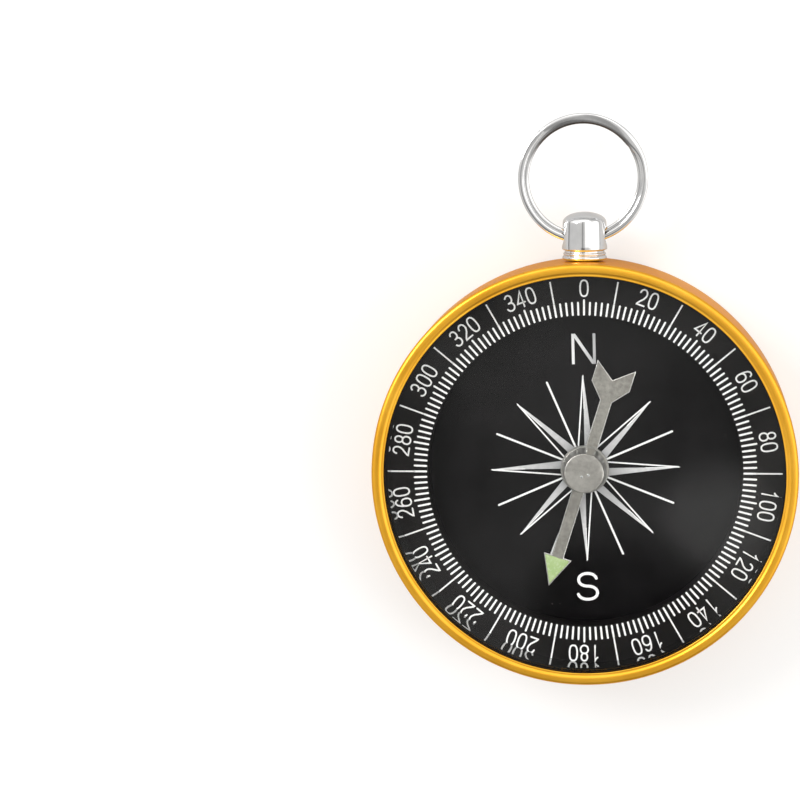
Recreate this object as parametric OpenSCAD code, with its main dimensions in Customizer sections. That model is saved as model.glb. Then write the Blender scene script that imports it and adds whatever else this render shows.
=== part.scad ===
// Pocket compass: a round case, a two-level dial, a needle on a point, and a split ring in a drilled stem.
// Millimetres. The compass lies on its back: Z is the needle's axis, Y points at the stem, and the origin is
// the middle of the back's resting edge.

/* [Case] */
// Diameter of the case
case_d = 45; // [42:0.5:60]
// Height of the case, from the back's edge to the rim
case_h = 10; // [9:0.1:13]
// Thickness of the side wall
wall_t = 0.7; // [0.6:0.05:1]
// Width of the rim, from the outside to the lens opening
rim_w = 1.3; // [1.25:0.05:2]
// Thickness of the lip over the lens
lip_t = 0.45; // [0.35:0.05:0.8]
// How much lower the lip's bead lies than the rim's face
lip_drop = 0.15; // [0:0.01:0.2]
// Rounding of the rim's outer edge
rim_round = 0.4; // [0.2:0.05:0.5]
// Width of the bead round the lens opening
bead_w = 0.24; // [0.16:0.02:0.3]
// Width of the groove between the bead and the rim's face
groove_w = 0.12; // [0.08:0.02:0.16]

/* [Back cover] */
// Thickness of the back panel
back_t = 0.8; // [0.6:0.05:1]
// Depth of the sunk panel
panel_depth = 0.45; // [0.2:0.05:0.6]
// Width of the bevel round the panel
bevel_w = 1; // [0.6:0.05:1.4]
// Width of the flat edge that the compass rests on
crest_w = 0.4; // [0.3:0.05:0.8]
// Rounding of the back's outer edge
back_round = 0.9; // [0.6:0.05:1]
// Thickness of the wall's end, which is rolled over the cover
roll_t = 0.3; // [0.2:0.02:0.4]

/* [Lens] */
// Thickness of the lens
lens_t = 0.7; // [0.6:0.1:1.1]
// Thickness of the gasket under the lens
gasket_t = 0.2; // [0.1:0.05:0.4]
// Bevel on the lens's edges
lens_bevel = 0.15; // [0.05:0.05:0.2]

/* [Dial] */
// Thickness of the chapter ring's glossy wall at its top
liner_t = 0.65; // [0.6:0.05:0.8]
// How much farther in the glossy wall's foot lies than its top
wall_lean = 0.5; // [0.1:0.05:0.7]
// Height of the degree step over the dial plate
step_h = 2.7; // [2.4:0.1:2.9]
// Width of the degree step, from its inner edge to the foot of the glossy wall
step_w = 3.85; // [3.6:0.05:4.5]
// Thickness of the degree step's shelf
shelf_t = 1; // [0.8:0.1:1.2]
// Thickness of the chapter ring's inner skirt
skirt_t = 0.9; // [0.7:0.1:1.2]
// Rounding of the degree step's inner edge
step_round = 0.15; // [0.05:0.05:0.3]
// Thickness of the dial plate
dial_t = 0.4; // [0.3:0.05:0.6]

/* [Print] */
// Thickness of the printed marks
print_t = 0.04; // [0.03:0.01:0.06]
// Degrees between two marks
mark_pitch = 2; // [2, 5]
// Width of a mark
mark_w = 0.23; // [0.15:0.01:0.3]
// Length of a mark
mark_len = 1.38; // [1:0.02:1.6]
// Gap between the step's inner edge and the marks
mark_margin = 0.1; // [0.06:0.02:0.3]
// Extra length of the marks at the numbers
number_mark_extra = 0.26; // [0.02:0.02:0.4]
// Width of the long line halfway between two numbers
line_w = 0.16; // [0.12:0.01:0.2]
// Gap between the star's tips and the degree step, seen from above
rose_gap = 6.55; // [5.5:0.05:8]
// Width of a star point at the needle's boss
rose_point_w = 1.5; // [1.2:0.1:1.8]
// Width of the star's lines
rose_line_w = 0.22; // [0.16:0.01:0.28]
// Width of the outline round a point's open half
rose_outline_w = 0.14; // [0.1:0.01:0.18]
// Turn of the star against the stem, clockwise
rose_turn = -1.2; // [-2:0.1:2]

/* [Pivot] */
// Diameter of the pivot pin
pin_d = 0.6; // [0.5:0.02:0.7]
// Length of the pin's sharpened end
point_len = 0.8; // [0.7:0.05:1]
// Length of the pin inside the post
pin_seat = 1.5; // [1:0.1:1.6]
// Diameter of the post's shank
post_d = 1.6; // [1.4:0.05:1.8]
// Diameter of the post's heads
post_head_d = 2.6; // [2.2:0.1:3]
// Thickness of the post's heads
post_head_t = 0.2; // [0.15:0.01:0.25]
// Diameter of the washer under the carrier
post_washer_d = 3.6; // [3.2:0.1:4]
// Thickness of the washers
washer_t = 0.15; // [0.1:0.01:0.2]

/* [Needle] */
// Where the tail of the needle points, clockwise from the stem
needle_heading = 17; // [0:1:359]
// Thickness of the needle
needle_t = 0.2; // [0.15:0.05:0.3]
// Gap between the dial plate and the needle's eyelet
needle_gap = 0.25; // [0.2:0.05:0.4]
// Width of the needle's shaft
shaft_w = 1.34; // [1:0.02:1.6]
// Gap between the arrow's tip and the degree step, seen from above
arrow_gap = 3.25; // [2:0.05:5]
// Length of the arrowhead
head_len = 3.5; // [2.5:0.1:4]
// Width of the arrowhead
head_w = 3.2; // [2.4:0.1:4]
// Gap between the feather tips and the degree step, seen from above
tail_gap = 4.95; // [3:0.05:6]
// Width across the feathers
tail_w = 4.3; // [3:0.1:5]
// Length of the feathers' straight outer edges
feather_edge = 2.4; // [2:0.1:3]
// Depth of the notch between the feather tips
feather_notch = 1.7; // [1:0.1:2.2]
// Length of the feathers' slanted front edges along the needle
feather_slant = 1.7; // [1:0.1:2.2]
// Thickness of the luminous paint
paint_t = 0.05; // [0.03:0.01:0.08]
// Width of bare metal left round the paint
paint_inset = 0.16; // [0.05:0.01:0.25]

/* [Needle hub] */
// Diameter of the boss's foot
hub_foot_d = 5.2; // [4.8:0.1:6]
// Thickness of the boss's foot
hub_foot_t = 0.2; // [0.15:0.05:0.4]
// Diameter of the boss just over the foot
hub_d = 4.8; // [4.4:0.1:4.8]
// Diameter of the boss's flat top
hub_top_d = 4.26; // [3.6:0.02:4.4]
// Height of the boss
hub_h = 2.8; // [2.7:0.1:3.2]
// Rounding of the boss's top edge
hub_round = 0.12; // [0.05:0.01:0.2]
// Diameter of the jewel cup
jewel_d = 1.5; // [1.4:0.05:1.8]
// Height of the jewel cup
jewel_h = 1.15; // [1:0.05:1.2]
// Diameter of the eyelet's flange
eyelet_d = 2.6; // [2.2:0.1:3]
// Thickness of the eyelet's flange
eyelet_t = 0.15; // [0.1:0.01:0.2]

/* [Stem] */
// Diameter of the stem at its foot
stem_d = 4.8; // [4.6:0.1:5.2]
// Diameter of the stem where its dome begins
stem_top_d = 4.6; // [4.2:0.1:4.7]
// Height of the stem over the case wall, to the top of its dome
stem_h = 5.15; // [5:0.05:6]
// Height of the dome
dome_h = 1.1; // [0.8:0.05:1.2]
// Thickness of the collar on the case wall
collar_t = 0.95; // [0.7:0.05:1]
// Diameter of the collar
collar_d = 4.66; // [4.2:0.02:5.2]
// Height of the collar's narrow foot, which holds its bead off the wall
collar_foot_h = 0.45; // [0.3:0.05:0.5]
// Diameter of the collar's narrow foot
collar_foot_d = 3.2; // [2.8:0.1:3.8]
// Depth of the groove between collar and stem
neck_depth = 0.2; // [0.1:0.02:0.3]
// Height of the groove between collar and stem
neck_h = 0.26; // [0.1:0.02:0.28]
// Height of the cross hole's axis over the case wall
hole_rise = 2.6; // [2.5:0.02:2.8]
// Diameter of the cross hole
hole_d = 2.2; // [2.14:0.02:2.3]
// Bevel at the mouths of the cross hole
hole_bevel = 0.2; // [0.1:0.02:0.25]
// Diameter of the spigot through the case wall
spigot_d = 1.2; // [1:0.05:1.4]
// Diameter of the spigot's riveted head inside the case
rivet_d = 1.8; // [1.6:0.05:2]
// Thickness of the riveted head
rivet_t = 0.2; // [0.15:0.01:0.24]
// Diameter of the washer under the riveted head
stem_washer_d = 2.2; // [2.1:0.05:2.5]

/* [Split ring] */
// Outer diameter of the split ring
ring_d = 13.7; // [13:0.1:16]
// Width of the ring's wire, seen from the front
wire_w = 0.66; // [0.6:0.02:0.72]
// How much farther in the rear turn lies than the front turn
turn_shift = 0.46; // [0.3:0.02:0.5]
// Thickness of one turn of the wire
wire_t = 0.45; // [0.35:0.01:0.48]
// Gap between the two turns
turn_gap = 0.42; // [0.41:0.01:0.46]
// Where the wire crosses over, clockwise from the top
cross_at = 5; // [-60:1:60]
// Angle over which the wire crosses over
cross_span = 90; // [60:1:100]
// Angle over which the wire's two ends narrow
taper_span = 12; // [6:1:20]
// How far the ring's middle lies aside of the stem
ring_aside = -0.15; // [-0.2:0.05:0.2]

/* [Hidden] */
$fn = 96;

// Every cut runs this far past the face that it opens
over = 0.2;
// Clearance round a piece that is dropped or pressed into a bore
fit = 0.05;
// Clearance round the small pieces of the needle's movement
fine_fit = 0.02;

// Case radii, from the outside in
case_r = case_d / 2;
bore_r = case_r - wall_t;
open_r = case_r - rim_w;
roll_r = case_r - roll_t;
crest_r = case_r - back_round;
bevel_r = crest_r - crest_w;
panel_r = bevel_r - bevel_w;

// Levels from the lip down to the gasket, and the cover's thickness
lip_top_z = case_h - lip_drop;
lip_z = lip_top_z - lip_t;
lens_z = lip_z - lens_t;
gasket_z = lens_z - gasket_t;
cover_t = panel_depth + back_t;

// Levels of the dial: its carrier takes a share of the height between cover and gasket, and the glossy wall
// takes what the step leaves
carrier_share = 0.33;
carrier_h = carrier_share * (gasket_z - cover_t - dial_t);
dial_bottom_z = cover_t + carrier_h;
dial_z = dial_bottom_z + dial_t;
step_z = dial_z + step_h;

// Pieces in the bore
inner_r = bore_r - fit;
liner_r = inner_r - liner_t;
wall_foot_r = liner_r - wall_lean;
step_r = wall_foot_r - step_w;
web_t = 0.8;
foot_w = 1.2;
rib_t = 0.8;
ribs = 6;
boss_wall = 0.8;

// The long lines end just short of the glossy wall
line_margin = 0.1;
number_pitch = 20;
rose_points = 8;
rose_r = step_r - rose_gap;
rose_bare_r = hub_top_d / 2;

// Pivot: the washer fills the top of a recess in the carrier, and the post is riveted over it
recess_r = post_washer_d / 2 + 0.1 * post_washer_d;
post_tail_gap = 0.25;
recess_h = washer_t + post_head_t + post_tail_gap;
tail_z = cover_t + post_tail_gap;
recess_z = cover_t + recess_h;

// Needle, from the eyelet's flange up
arrow_reach = step_r - arrow_gap;
tail_reach = step_r - tail_gap;
eyelet_z = dial_z + needle_gap;
blade_z = eyelet_z + eyelet_t;
hub_z = blade_z + needle_t;
hub_top_z = hub_z + hub_h;
hub_bore_r = jewel_d / 2 + fine_fit;
hub_roof = 0.5;
jewel_z = hub_top_z - hub_roof - jewel_h;
pin_clear = 0.25;
eyelet_bore_r = pin_d / 2 + pin_clear;
eyelet_rise = 0.6;
blade_disc_r = eyelet_d / 2 + 0.2 * eyelet_d;
cup_depth = 0.65 * jewel_h;
point_gap = 0.03;
point_flat_r = 0.03;
point_z = jewel_z + cup_depth - point_gap;

// Stem: the washer's face touches the bore at its two sides
stem_z = case_h / 2;
stem_foot_y = case_r + collar_t + neck_h;
dome_y = case_r + stem_h - dome_h;
washer_y = sqrt(pow(bore_r, 2) - pow(stem_washer_d / 2, 2));
rivet_y = washer_y - washer_t;
key_w = stem_washer_d + 4 * fit;
key_y = rivet_y - rivet_t - fit;

// Split ring: its middle lies where the bent wire has the same room all round in the hole, whichever way
// the ring swings
hinge_y = case_r + hole_rise;
ring_r = ring_d / 2;
loop_r = ring_r - wire_w - turn_shift;
mouth_x = stem_top_d / 2 - hole_bevel;
ring_reach = (ring_r + sqrt(pow(loop_r, 2) - pow(mouth_x, 2))) / 2;
turn_rise = (wire_t + turn_gap) / 2;
wire_sweep = 720 - cross_span;
wire_corner = 0.3 * wire_t;
widen_share = 0.28;
end_share = 0.45;
ring_steps = 90;

// Points on an arc about [x, y], from angle a to angle b
function arc(x, y, r, a, b, steps = 6) = [
    for (i = [0:steps]) let (t = a + (b - a) * i / steps) [x + r * cos(t), y + r * sin(t)]
];

// Lays a shape that is revolved about Z along the stem's axis
module along_stem() {
    translate([0, 0, stem_z]) rotate([-90, 0, 0]) children();
}

// Room for the stem's riveted head, which also keeps the dial square to the stem
module keyway(from_z, to_z) {
    translate([-key_w / 2, key_y, from_z]) cube([key_w, case_r - key_y, to_z - from_z]);
}

module case_body() {
    groove_r = open_r + bead_w;
    bead_r = bead_w / 2;
    face_r = groove_r + groove_w;
    bead_start = 20;
    color("goldenrod") difference() {
        rotate_extrude() polygon(concat(
            arc(crest_r, back_round, back_round, -90, 0, 8),
            arc(case_r - rim_round, case_h - rim_round, rim_round, 0, 80),
            [[face_r, case_h - lip_drop / 4], [groove_r + groove_w / 2, lip_top_z - bead_r]],
            arc(groove_r - bead_r, lip_top_z - bead_r, bead_r, bead_start, 180),
            [[open_r, lip_z], [bore_r, lip_z], [bore_r, cover_t], [roll_r, cover_t]],
            arc(crest_r, back_round, back_round - roll_t, 0, -90)
        ));
        along_stem() translate([0, 0, bore_r - over])
            cylinder(r = spigot_d / 2 + fit, h = wall_t + 2 * over);
    }
}

module back_cover() {
    color("gold") rotate_extrude() polygon(concat(
        [[0, panel_depth], [panel_r, panel_depth], [bevel_r, 0], [crest_r - fit, 0]],
        [[crest_r - fit, roll_t + fit]],
        arc(crest_r, back_round, back_round - roll_t - fit, -90, 0),
        [[roll_r - fit, cover_t], [0, cover_t]]
    ));
}

module lens() {
    color("lightblue", 0.3) translate([0, 0, lens_z]) rotate_extrude() polygon([
        [0, 0], [inner_r - lens_bevel, 0], [inner_r, lens_bevel],
        [inner_r, lens_t - lens_bevel], [inner_r - lens_bevel, lens_t], [0, lens_t]
    ]);
}

module lens_gasket() {
    color("dimgray") translate([0, 0, gasket_z]) difference() {
        cylinder(r = inner_r, h = gasket_t);
        translate([0, 0, -over]) cylinder(r = liner_r, h = gasket_t + 2 * over);
    }
}

// Inverted U section: both legs stand on the dial plate, and the outer one rises past the step as the wall
module chapter_ring() {
    color("black") difference() {
        rotate_extrude() polygon(concat(
            [[step_r, dial_z], [step_r + skirt_t, dial_z], [step_r + skirt_t, step_z - shelf_t]],
            [[liner_r, step_z - shelf_t], [liner_r, dial_z], [inner_r, dial_z], [inner_r, gasket_z]],
            [[liner_r, gasket_z], [wall_foot_r, step_z]],
            arc(step_r + step_round, step_z - step_round, step_round, 90, 180, 4)
        ));
        keyway(stem_z - key_w / 2, gasket_z + over);
    }
}

module degree_marks() {
    mark_r = step_r + step_round + mark_margin;
    color("white") translate([0, 0, step_z]) linear_extrude(print_t) for (a = [0:mark_pitch:359]) {
        numbered = a % number_pitch == 0;
        halfway = a % number_pitch == number_pitch / 2;
        len = mark_len + (numbered ? number_mark_extra : 0);
        rotate(-a) translate([0, mark_r]) {
            translate([-mark_w / 2, 0]) square([mark_w, len]);
            if (halfway) translate([-line_w / 2, 0]) square([line_w, wall_foot_r - line_margin - mark_r]);
        }
    }
}

module dial_plate() {
    color("#1c1a1b") difference() {
        translate([0, 0, dial_bottom_z]) cylinder(r = inner_r, h = dial_t);
        translate([0, 0, dial_bottom_z - over]) cylinder(r = post_d / 2 + fit, h = dial_t + 2 * over);
        translate([0, 0, dial_z - post_head_t]) cylinder(r = post_head_d / 2 + fit, h = post_head_t + over);
        keyway(dial_bottom_z - over, dial_z + over);
    }
}

// One point of the star: a filled half and an outlined half, from the boss's edge to the tip
module rose_point() {
    half_w = rose_point_w / 2;
    inner_w = half_w - 2 * rose_outline_w;
    inner_r = rose_bare_r + (rose_r - rose_bare_r) * inner_w / half_w;
    polygon([[0, rose_bare_r], [half_w, rose_bare_r], [0, rose_r]]);
    difference() {
        polygon([[0, rose_bare_r], [0, rose_r], [-half_w, rose_bare_r]]);
        polygon([[0, rose_bare_r], [0, inner_r], [-inner_w, rose_bare_r]]);
    }
}

module rose_print() {
    sector = 360 / rose_points;
    color("silver") translate([0, 0, dial_z]) linear_extrude(print_t) for (i = [0:rose_points - 1]) {
        rotate(-rose_turn - i * sector) rose_point();
        rotate(-rose_turn - (i + 0.5) * sector) translate([-rose_line_w / 2, rose_bare_r])
            square([rose_line_w, rose_r - rose_bare_r]);
    }
}

// Moulded plate on a foot ring, a middle boss and ribs between them
module dial_carrier() {
    foot_h = carrier_h - web_t;
    boss_r = recess_r + boss_wall;
    color("dimgray") difference() {
        union() {
            translate([0, 0, dial_bottom_z - web_t]) cylinder(r = inner_r, h = web_t);
            translate([0, 0, cover_t]) difference() {
                cylinder(r = inner_r, h = foot_h);
                translate([0, 0, -over]) cylinder(r = inner_r - foot_w, h = foot_h + 2 * over);
            }
            translate([0, 0, cover_t]) cylinder(r = boss_r, h = foot_h);
            for (i = [0:ribs - 1]) rotate(i * 360 / ribs) translate([boss_wall - boss_r, 0, cover_t])
                translate([2 * boss_r - 2 * boss_wall, -rib_t / 2, 0])
                    cube([inner_r - foot_w / 2 - boss_r + boss_wall, rib_t, foot_h]);
        }
        translate([0, 0, cover_t - over]) cylinder(r = recess_r, h = recess_h + over);
        translate([0, 0, cover_t]) cylinder(r = post_d / 2 + fit, h = carrier_h + over);
        keyway(cover_t - over, dial_bottom_z + over);
    }
}

module pivot_post() {
    color("darkgoldenrod") difference() {
        union() {
            translate([0, 0, tail_z]) cylinder(r = post_head_d / 2, h = post_head_t);
            translate([0, 0, tail_z]) cylinder(r = post_d / 2, h = dial_z - tail_z);
            translate([0, 0, dial_z - post_head_t]) cylinder(r = post_head_d / 2, h = post_head_t);
        }
        translate([0, 0, dial_z - pin_seat]) cylinder(r = pin_d / 2 + fine_fit, h = pin_seat + over);
    }
}

module post_washer() {
    color("silver") translate([0, 0, recess_z - washer_t]) difference() {
        cylinder(r = post_washer_d / 2, h = washer_t);
        translate([0, 0, -over]) cylinder(r = post_d / 2 + fit, h = washer_t + 2 * over);
    }
}

module pivot_pin() {
    color("silver") rotate_extrude() polygon([
        [0, dial_z - pin_seat], [pin_d / 2, dial_z - pin_seat], [pin_d / 2, point_z - point_len],
        [point_flat_r, point_z], [0, point_z]
    ]);
}

// Right half of the needle, from the arrow's tip to the notch between the feathers
function needle_half() =
    let (base_y = -arrow_reach + head_len, shoulder_y = tail_reach - feather_edge)
    [
        [0, -arrow_reach], [head_w / 2, base_y], [shaft_w / 2, base_y],
        [shaft_w / 2, shoulder_y - feather_slant], [tail_w / 2, shoulder_y], [tail_w / 2, tail_reach],
        [0, tail_reach - feather_notch]
    ];

module needle_blade() {
    half = needle_half();
    other_half = [for (i = [len(half) - 2:-1:1]) [-half[i][0], half[i][1]]];
    color("silver") rotate(-needle_heading) translate([0, 0, blade_z]) linear_extrude(needle_t)
        difference() {
            union() {
                polygon(concat(half, other_half));
                circle(r = blade_disc_r);
            }
            circle(r = hub_bore_r);
        }
}

// The paint keeps the same distance from all three edges of the arrowhead and stops short of its corners
module tip_paint() {
    slope = atan2(head_w / 2, head_len);
    base_y = -arrow_reach + head_len - paint_inset;
    tip_y = -arrow_reach + paint_inset / sin(slope);
    half_w = (base_y - tip_y) * tan(slope);
    corner = paint_inset;
    color("palegreen") rotate(-needle_heading) translate([0, 0, hub_z]) linear_extrude(paint_t) polygon([
        [-half_w + corner, base_y], [-half_w + corner / 2, base_y - corner], [0, tip_y],
        [half_w - corner / 2, base_y - corner], [half_w - corner, base_y]
    ]);
}

module hub_cap() {
    top_r = hub_top_d / 2;
    color("lightgray") translate([0, 0, hub_z]) difference() {
        rotate_extrude() polygon(concat(
            [[0, 0], [hub_foot_d / 2, 0], [hub_foot_d / 2, hub_foot_t], [hub_d / 2, hub_foot_t]],
            arc(top_r - hub_round, hub_h - hub_round, hub_round, 0, 90, 4),
            [[0, hub_h]]
        ));
        translate([0, 0, -over]) cylinder(r = hub_bore_r, h = hub_h - hub_roof + over);
    }
}

module hub_eyelet() {
    color("gainsboro") difference() {
        union() {
            translate([0, 0, eyelet_z]) cylinder(r = eyelet_d / 2, h = eyelet_t);
            translate([0, 0, eyelet_z]) cylinder(r = jewel_d / 2, h = eyelet_t + needle_t + eyelet_rise);
        }
        translate([0, 0, eyelet_z - over])
            cylinder(r = eyelet_bore_r, h = eyelet_t + needle_t + eyelet_rise + 2 * over);
    }
}

module jewel_cup() {
    cup_r = 0.75 * jewel_d / 2;
    color("firebrick") translate([0, 0, jewel_z]) rotate_extrude() polygon([
        [0, cup_depth], [cup_r, 0], [jewel_d / 2, 0], [jewel_d / 2, jewel_h], [0, jewel_h]
    ]);
}

module stem() {
    foot_round = neck_depth / 2;
    hole_r = hole_d / 2;
    mouth_r = hole_r + hole_bevel;
    color("silver") along_stem() difference() {
        rotate_extrude() polygon(concat(
            [[0, rivet_y - rivet_t], [rivet_d / 2, rivet_y - rivet_t], [rivet_d / 2, rivet_y]],
            [[spigot_d / 2, rivet_y], [spigot_d / 2, case_r + collar_t]],
            [[stem_d / 2 - neck_depth, case_r + collar_t], [stem_d / 2 - neck_depth, stem_foot_y]],
            arc(stem_d / 2 - foot_round, stem_foot_y + foot_round, foot_round, -90, 0, 4),
            [for (i = [0:9]) [stem_top_d / 2 * cos(i * 10), dome_y + dome_h * sin(i * 10)]]
        ));
        translate([0, 0, hinge_y]) rotate([0, 90, 0])
            cylinder(r = hole_r, h = stem_d + 2 * over, center = true);
        for (side = [0, 180]) rotate(side) translate([mouth_x, 0, hinge_y]) rotate([0, 90, 0])
            cylinder(r1 = hole_r, r2 = mouth_r + over, h = hole_bevel + over);
    }
}

// A round bead on a narrow foot, which follows the case wall
module stem_collar() {
    bead_r = (collar_t - collar_foot_h) / 2;
    color("silver") difference() {
        along_stem() rotate_extrude() polygon(concat(
            [[spigot_d / 2 + fit, bore_r], [collar_foot_d / 2, bore_r]],
            [[collar_foot_d / 2, case_r + collar_foot_h]],
            arc(collar_d / 2 - bead_r, case_r + collar_t - bead_r, bead_r, -90, 90),
            [[spigot_d / 2 + fit, case_r + collar_t]]
        ));
        cylinder(r = case_r + fine_fit, h = case_h);
    }
}

module stem_washer() {
    color("silver") along_stem() translate([0, 0, rivet_y]) difference() {
        cylinder(r = stem_washer_d / 2, h = washer_t);
        translate([0, 0, -over]) cylinder(r = spigot_d / 2 + fit, h = washer_t + 2 * over);
    }
}

// How far the wire has crossed over at angle a along it: 0 on the rear turn, 1 on the front turn. The climb
// can keep to another part of the way, between the shares from and to of the span
function crossed(a, from = 0, to = 1) =
    let (t = min(1, max(0, ((a - 360) / cross_span + 1 - from) / (to - from))))
    t * t * (3 - 2 * t);

// Section of a wire of this width as [outwards, up], a flat bar with bevelled corners
function wire_section(width) = let (w = width / 2, t = wire_t / 2, c = wire_corner) [
    [w, -t + c], [w, t - c], [w - c, t], [-w + c, t], [-w, t - c], [-w, -t + c], [-w + c, -t], [w - c, -t]
];

// Share of its full width that the wire has at this angle from its nearer end
function tapered(from_end) = end_share + (1 - end_share) * min(1, from_end / taper_span);

// One ring of points across the wire at angle a along it. The outer edge moves out under the front turn's
// end, and the inner edge follows over the rear turn's start, so the crossing wire covers both ends
function wire_ring(a) =
    let (r_in = loop_r + turn_shift * crossed(a, 1, 1 + widen_share))
    let (r_out = loop_r + wire_w + turn_shift * crossed(a, -widen_share, 0))
    let (w = (r_out - r_in) * tapered(min(a, wire_sweep - a)))
    let (at = cross_at + cross_span / 2 + a, r = (r_in + r_out) / 2, z = turn_rise * (2 * crossed(a) - 1))
    [for (p = wire_section(w)) [(r + p[0]) * sin(at), (r + p[0]) * cos(at), z + p[1]]];

module split_ring() {
    sides = len(wire_section(wire_w));
    rings = [for (i = [0:ring_steps]) wire_ring(wire_sweep * i / ring_steps)];
    walls = [
        for (i = [0:ring_steps - 1], j = [0:sides - 1])
            let (a = i * sides + j, b = i * sides + (j + 1) % sides)
            each [[a, b, a + sides], [b, b + sides, a + sides]]
    ];
    caps = [
        for (j = [1:sides - 2]) each [
            [0, j + 1, j],
            [ring_steps * sides, ring_steps * sides + j, ring_steps * sides + j + 1]
        ]
    ];
    half_turn = ceil(ring_steps * 180 / wire_sweep);
    gaps = [
        for (i = [0:ring_steps - half_turn], k = [i + half_turn:ring_steps], p = rings[i], q = rings[k])
            norm(p - q)
    ];
    echo(least_gap_between_turns = min(gaps));
    color("gainsboro") translate([ring_aside, hinge_y + ring_reach, stem_z])
        polyhedron(points = [for (r = rings, p = r) p], faces = concat(walls, caps));
}

case_body();
back_cover();
lens();
lens_gasket();
chapter_ring();
degree_marks();
dial_plate();
rose_print();
dial_carrier();
pivot_post();
post_washer();
pivot_pin();
needle_blade();
tip_paint();
hub_cap();
hub_eyelet();
jewel_cup();
stem();
stem_collar();
stem_washer();
split_ring();
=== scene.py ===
"""Looks of the pocket compass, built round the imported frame. Lengths are in millimetres, and MM makes them metres."""

import math

import bpy
from mathutils import Matrix, Vector


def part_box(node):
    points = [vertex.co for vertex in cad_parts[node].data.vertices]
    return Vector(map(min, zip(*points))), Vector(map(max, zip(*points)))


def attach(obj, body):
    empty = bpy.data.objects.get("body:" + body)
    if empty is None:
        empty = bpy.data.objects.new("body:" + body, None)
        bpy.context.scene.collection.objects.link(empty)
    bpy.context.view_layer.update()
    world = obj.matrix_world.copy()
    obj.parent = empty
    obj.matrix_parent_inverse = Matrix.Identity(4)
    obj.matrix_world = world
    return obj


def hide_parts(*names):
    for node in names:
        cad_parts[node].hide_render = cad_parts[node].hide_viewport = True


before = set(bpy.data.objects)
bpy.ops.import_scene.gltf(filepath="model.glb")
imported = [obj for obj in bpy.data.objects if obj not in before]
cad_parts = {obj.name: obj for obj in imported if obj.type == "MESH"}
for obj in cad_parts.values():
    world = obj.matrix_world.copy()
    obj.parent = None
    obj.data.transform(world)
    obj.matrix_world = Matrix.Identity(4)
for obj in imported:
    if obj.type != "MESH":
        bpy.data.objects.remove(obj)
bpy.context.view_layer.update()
MM = 0.001
TAU = 2 * math.pi

# Sizes, and the needle's and the star's turns in degrees, as in the CAD
CASE_R, CASE_H = 22.5, 10.0
OPEN_R, BORE_R, INNER_R = 21.2, 21.8, 21.75
CREST_R, BEVEL_R, PANEL_R = 21.6, 21.2, 20.2
COVER_T, PANEL_DEPTH = 1.25, 0.45
LIP_Z, LENS_T = 9.4, 0.7
LENS_Z = LIP_Z - LENS_T
GASKET_Z = LENS_Z - 0.2
DIAL_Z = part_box("dial_plate")[1].z / MM
STEP_R, STEP_Z = 16.75, DIAL_Z + 2.7
EYELET_Z = DIAL_Z + 0.25
BLADE_Z = EYELET_Z + 0.15
HUB_Z = BLADE_Z + 0.2
HUB_TOP = HUB_Z + 2.8
STEM_Z = 5.0
HINGE_Y = CASE_R + 2.6
RING_X, RING_Y = -0.15, HINGE_Y + 6.08
HEADING = 17.0
ROSE_TURN = -1.2


# Mesh helpers. A shape is a list of points in millimetres and a list of faces
def arc(x, y, r, a, b, n):
    """Points on an arc about (x, y), from angle a to b in degrees, in n steps."""
    out = []
    for i in range(n + 1):
        t = math.radians(a + (b - a) * i / n)
        out.append((x + r * math.cos(t), y + r * math.sin(t)))
    return out


def add_object(name, data):
    """A new object in the scene."""
    obj = bpy.data.objects.new(name, data)
    bpy.context.scene.collection.objects.link(obj)
    return obj


def as_mesh(name, shape, matrix=None):
    """A mesh in metres from a shape."""
    verts, faces = shape
    mesh = bpy.data.meshes.new(name)
    mesh.from_pydata([Vector(v) * MM for v in verts], [], faces)
    if matrix is not None:
        mesh.transform(matrix)
    return mesh


def shade_smooth(mesh, sharp):
    """Smooth shading but for edges sharper than this angle in degrees."""
    for poly in mesh.polygons:
        poly.use_smooth = True
    mesh.set_sharp_from_angle(angle=math.radians(sharp))


def finish_piece(obj, m, body, replaces, sharp):
    """Gives a piece its shading, its material, its body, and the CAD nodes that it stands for."""
    shade_smooth(obj.data, sharp)
    obj.data.materials.clear()
    obj.data.materials.append(m.mat)
    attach(obj, body)
    if replaces:
        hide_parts(*replaces)
    return obj


def make(name, shape, m, body, replaces, sharp):
    """A piece from a shape."""
    mesh = as_mesh(name, shape)
    mesh.validate()
    mesh.update()
    return finish_piece(add_object(name, mesh), m, body, replaces, sharp)


def second_material(obj, m, chosen):
    """Gives another material to the faces that are chosen."""
    obj.data.materials.append(m.mat)
    for poly in obj.data.polygons:
        if chosen(poly):
            poly.material_index = 1


def lathe(profile, n, closed=True):
    """Revolves (r, z) points about Z in n steps. A point with r = 0 is a pole. Closed, the last meets the first."""
    verts, rows = [], []
    for r, z in profile:
        if r < 1e-6:
            rows.append([len(verts)])
            verts.append((0, 0, z))
        else:
            rows.append(list(range(len(verts), len(verts) + n)))
            for i in range(n):
                t = TAU * i / n
                verts.append((r * math.cos(t), r * math.sin(t), z))
    faces = []
    pairs = list(zip(rows, rows[1:]))
    if closed:
        pairs.append((rows[-1], rows[0]))
    for a, b in pairs:
        if len(a) == 1 and len(b) == 1:
            continue
        for i in range(n):
            j = (i + 1) % n
            if len(a) == 1:
                faces.append((a[0], b[j], b[i]))
            elif len(b) == 1:
                faces.append((a[i], a[j], b[0]))
            else:
                faces.append((a[i], a[j], b[j], b[i]))
    return verts, faces


def belts(count, sides, closed=False):
    """Faces between count rings of points. If closed, the last ring meets the first."""
    faces = []
    for k in range(count if closed else count - 1):
        a, b = k * sides, (k + 1) % count * sides
        for i in range(sides):
            j = (i + 1) % sides
            faces.append((a + i, b + i, b + j, a + j))
    return faces


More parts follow.
